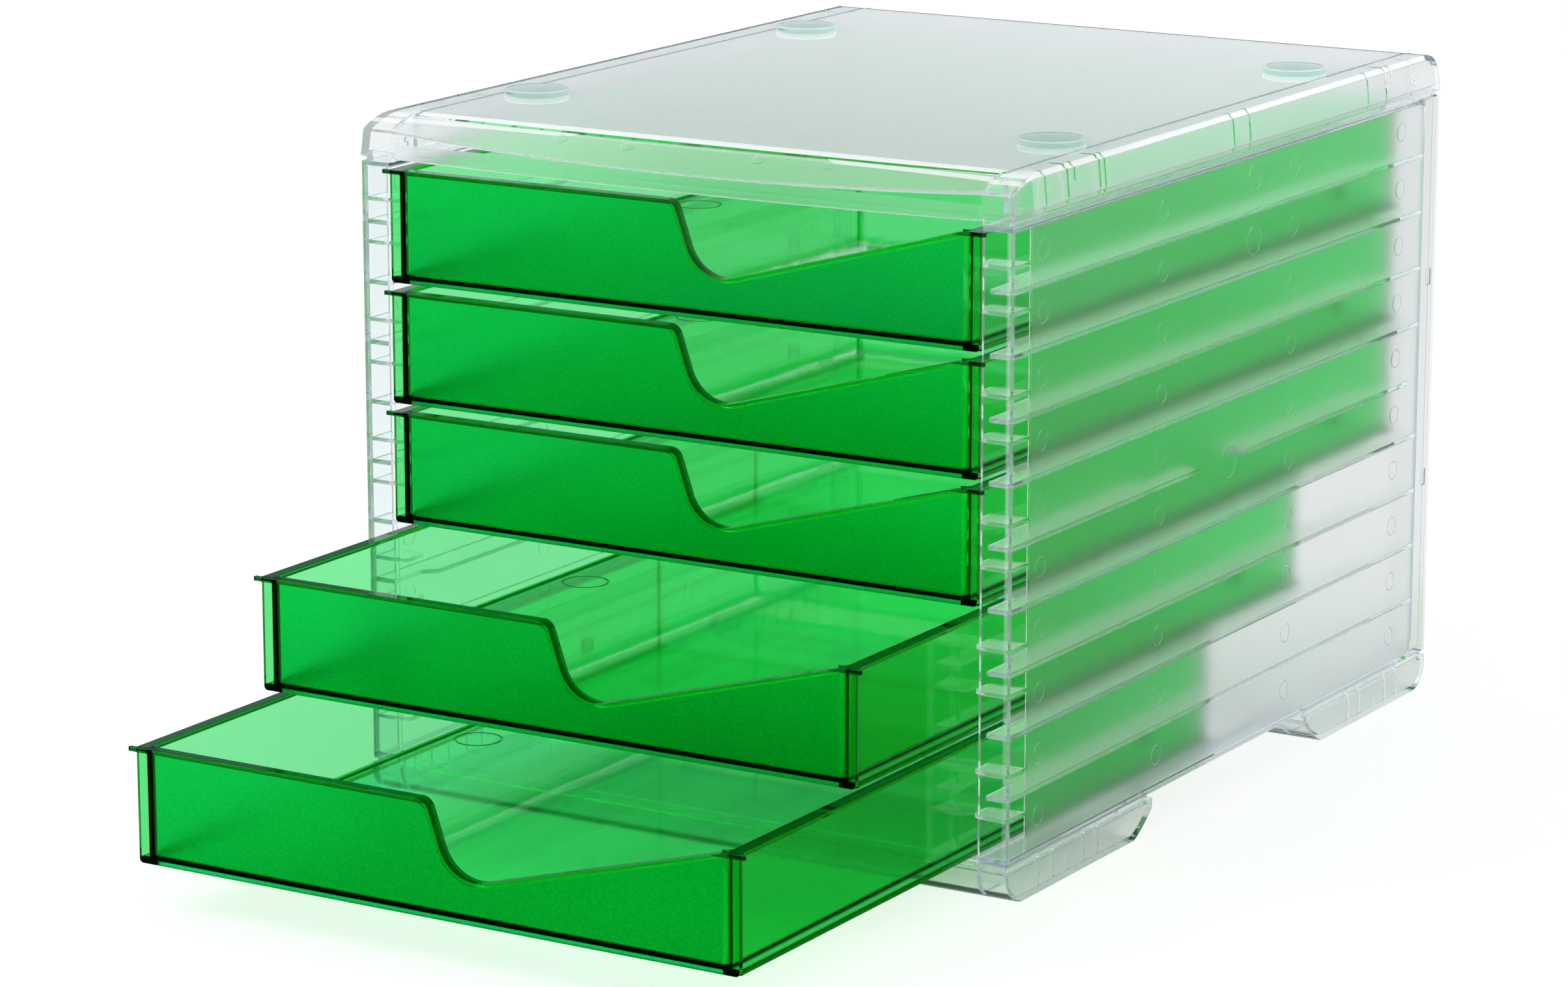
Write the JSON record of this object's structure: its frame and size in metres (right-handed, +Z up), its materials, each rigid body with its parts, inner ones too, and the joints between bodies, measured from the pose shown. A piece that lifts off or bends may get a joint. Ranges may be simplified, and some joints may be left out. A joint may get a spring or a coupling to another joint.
{
  "type": "drawer box",
  "caption": "Desk drawer box: clear stackable plastic housing with translucent green letter-tray drawers, each with a swing cut grip, that slide out to the front on moulded shelves.",
  "frame": {"origin": "middle of the housing's footprint, on the desk that the feet stand on", "axes": "+X to the right seen from the front, +Y to the back, +Z up; drawers open towards -Y"},
  "size_m": [0.268, 0.4979, 0.2557],
  "materials": {
    "clear_plastic": "clear polystyrene, glossy outside, frosted on the inner faces",
    "green_plastic": "translucent green polystyrene, glossy, with a finely frosted inner face of the front"
  },
  "bodies": {
    "housing": {"base_frame": "clear_plastic", "side_panel_left": "clear_plastic", "side_panel_right": "clear_plastic", "back_panel": "clear_plastic", "top_cover": "clear_plastic"},
    "drawer_1": {"drawer_1": "green_plastic"},
    "drawer_2": {"drawer_2": "green_plastic"},
    "drawer_3": {"drawer_3": "green_plastic"},
    "drawer_4": {"drawer_4": "green_plastic"},
    "drawer_5": {"drawer_5": "green_plastic"}
  },
  "joints": [
    {"name": "drawer_1_slide", "type": "slide", "parent": "housing", "child": "drawer_1", "axis": [0, -1, 0], "range_m": [0, 0.26]},
    {"name": "drawer_2_slide", "type": "slide", "parent": "housing", "child": "drawer_2", "axis": [0, -1, 0], "range_m": [0, 0.26]},
    {"name": "drawer_3_slide", "type": "slide", "parent": "housing", "child": "drawer_3", "axis": [0, -1, 0], "range_m": [0, 0.26]},
    {"name": "drawer_4_slide", "type": "slide", "parent": "housing", "child": "drawer_4", "axis": [0, -1, 0], "range_m": [-0.0814, 0.1786]},
    {"name": "drawer_5_slide", "type": "slide", "parent": "housing", "child": "drawer_5", "axis": [0, -1, 0], "range_m": [-0.1542, 0.1058]}
  ]
}
